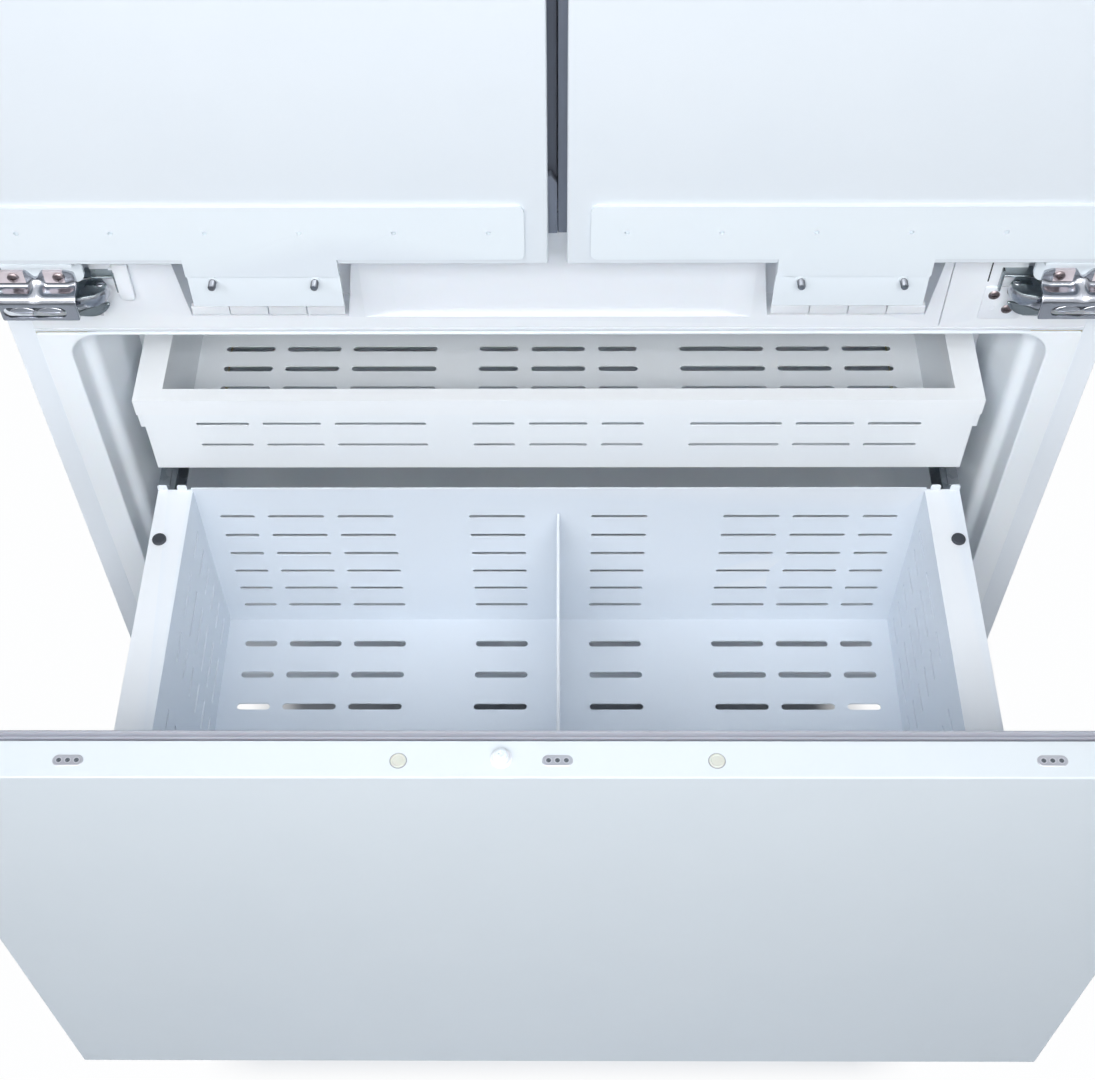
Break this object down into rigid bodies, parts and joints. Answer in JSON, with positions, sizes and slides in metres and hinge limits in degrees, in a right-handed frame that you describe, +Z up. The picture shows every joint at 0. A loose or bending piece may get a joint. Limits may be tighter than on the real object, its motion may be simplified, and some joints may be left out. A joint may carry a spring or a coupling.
{
  "type": "built-in refrigerator",
  "caption": "Tall panel-ready built-in refrigerator with two side-hung fridge doors above a deep freezer drawer that slides out with its slotted basket.",
  "frame": {"origin": "middle of the part's box on the floor, with the freezer drawer drawn out as in the picture", "axes": "+Z up, the doors face -Y, +X to the right of someone who looks at the doors"},
  "size_m": [0.902, 0.975, 2.12],
  "materials": {
    "white_cabinet_steel": "satin",
    "white_door_steel": "satin",
    "white_liner_plastic": "satin",
    "white_moulded_plastic": "satin",
    "white_coated_sheet": "satin",
    "galvanised_steel": "satin",
    "insulation_foam": "matte",
    "door_foam_panel": "satin",
    "gasket_vinyl": "matte",
    "black_rubber": "matte",
    "dark_plastic": "satin",
    "dark_bar": "satin",
    "chrome": "polished",
    "zinc_steel": "satin",
    "white_bracket_steel": "satin",
    "clear_shelf_glass": "gloss",
    "clear_bin_plastic": "gloss",
    "compressor_black": "satin",
    "coil_aluminium": "satin",
    "fan_plastic": "matte",
    "edge_fixing_plastic": "satin"
  },
  "bodies": {
    "cabinet": {"cabinet_shell": "white_cabinet_steel", "back_panel": "galvanised_steel", "base_frame": "galvanised_steel", "insulation_foam": "insulation_foam", "fridge_liner": "white_liner_plastic", "freezer_liner": "white_liner_plastic", "crossbar_cover": "white_moulded_plastic", "toe_grille": "dark_plastic", "levelling_feet": "zinc_steel", "compressor": "compressor_black", "condenser": "coil_aluminium", "evaporator": "coil_aluminium", "evaporator_cover": "white_liner_plastic", "air_duct_cover": "white_liner_plastic", "fridge_shelves": "clear_shelf_glass", "crispers": "clear_bin_plastic", "control_panel": "white_moulded_plastic", "slide_outer": "zinc_steel", "tray_runners": "white_coated_sheet", "hinge_base_left": "chrome", "hinge_base_right": "chrome", "hinge_cover_right": "white_bracket_steel", "cabinet_screws": "zinc_steel", "bar_guide": "dark_plastic", "power_inlet": "dark_plastic"},
    "left_door": {"left_door_bar_brackets": "dark_plastic", "left_door_skin": "white_door_steel", "left_door_liner": "door_foam_panel", "left_door_gasket": "gasket_vinyl", "left_door_bins": "clear_bin_plastic", "left_door_panel_rail": "white_bracket_steel", "left_door_stud_bracket": "white_bracket_steel", "left_door_hinge_carriers": "white_bracket_steel", "left_door_hinge_brackets": "chrome", "left_door_hinge_screws": "chrome"},
    "right_door": {"right_door_centre_strip": "dark_plastic", "right_door_skin": "white_door_steel", "right_door_liner": "door_foam_panel", "right_door_gasket": "gasket_vinyl", "right_door_bins": "clear_bin_plastic", "right_door_panel_rail": "white_bracket_steel", "right_door_stud_bracket": "white_bracket_steel", "right_door_hinge_carriers": "white_bracket_steel", "right_door_hinge_brackets": "chrome", "right_door_hinge_screws": "chrome"},
    "centre_bar": {"centre_bar": "dark_bar"},
    "left_links": {"left_hinge_links": "chrome"},
    "right_links": {"right_hinge_links": "chrome"},
    "freezer_drawer": {"freezer_basket": "white_coated_sheet", "basket_divider": "white_moulded_plastic", "slide_inner": "zinc_steel", "basket_bumpers": "black_rubber", "freezer_door_skin": "white_door_steel", "freezer_door_liner": "door_foam_panel", "freezer_door_gasket": "gasket_vinyl", "freezer_door_fixings": "edge_fixing_plastic"},
    "slide_middle": {"slide_middle": "zinc_steel"},
    "freezer_tray": {"freezer_tray": "white_coated_sheet"},
    "condenser_fan": {"condenser_fan": "fan_plastic"},
    "evaporator_fan": {"evaporator_fan": "fan_plastic"}
  },
  "joints": [
    {"name": "left_door_hinge", "type": "hinge", "parent": "cabinet", "child": "left_door", "pos_m": [-0.443, -0.1038, 1.41925], "axis": [0, 0, -1], "range_deg": [0, 115]},
    {"name": "right_door_hinge", "type": "hinge", "parent": "cabinet", "child": "right_door", "pos_m": [0.443, -0.1038, 1.41925], "axis": [0, 0, 1], "range_deg": [0, 115]},
    {"name": "centre_bar_fold", "type": "hinge", "parent": "left_door", "child": "centre_bar", "pos_m": [-0.029, -0.063, 1.41925], "axis": [0, 0, 1], "range_deg": [0, 90]},
    {"name": "left_link_swing", "type": "hinge", "parent": "cabinet", "child": "left_links", "pos_m": [-0.362, -0.079, 1.41925], "axis": [0, 0, 1], "range_deg": [0, 52]},
    {"name": "right_link_swing", "type": "hinge", "parent": "cabinet", "child": "right_links", "pos_m": [0.362, -0.079, 1.41925], "axis": [0, 0, -1], "range_deg": [0, 52]},
    {"name": "freezer_drawer_slide", "type": "slide", "parent": "cabinet", "child": "freezer_drawer", "axis": [0, -1, 0], "range_m": [-0.3757, 0.022]},
    {"name": "rail_middle_slide", "type": "slide", "parent": "cabinet", "child": "slide_middle", "axis": [0, -1, 0], "range_m": [-0.188, 0.011]},
    {"name": "freezer_tray_slide", "type": "slide", "parent": "cabinet", "child": "freezer_tray", "axis": [0, -1, 0], "range_m": [-0.113, 0.0067]},
    {"name": "condenser_fan_spin", "type": "hinge", "parent": "cabinet", "child": "condenser_fan", "pos_m": [0, 0.3745, 0.122], "axis": [1, 0, 0], "continuous": true},
    {"name": "evaporator_fan_spin", "type": "hinge", "parent": "cabinet", "child": "evaporator_fan", "pos_m": [0, 0.3975, 0.5722], "axis": [0, 1, 0], "continuous": true}
  ],
  "couplings": [
    {"joint": "centre_bar_fold", "follows": "left_door_hinge", "ratio": 0.7826},
    {"joint": "left_link_swing", "follows": "left_door_hinge", "ratio": 0.45},
    {"joint": "right_link_swing", "follows": "right_door_hinge", "ratio": 0.45},
    {"joint": "rail_middle_slide", "follows": "freezer_drawer_slide", "ratio": 0.5},
    {"joint": "freezer_tray_slide", "follows": "freezer_drawer_slide", "ratio": 0.3}
  ]
}
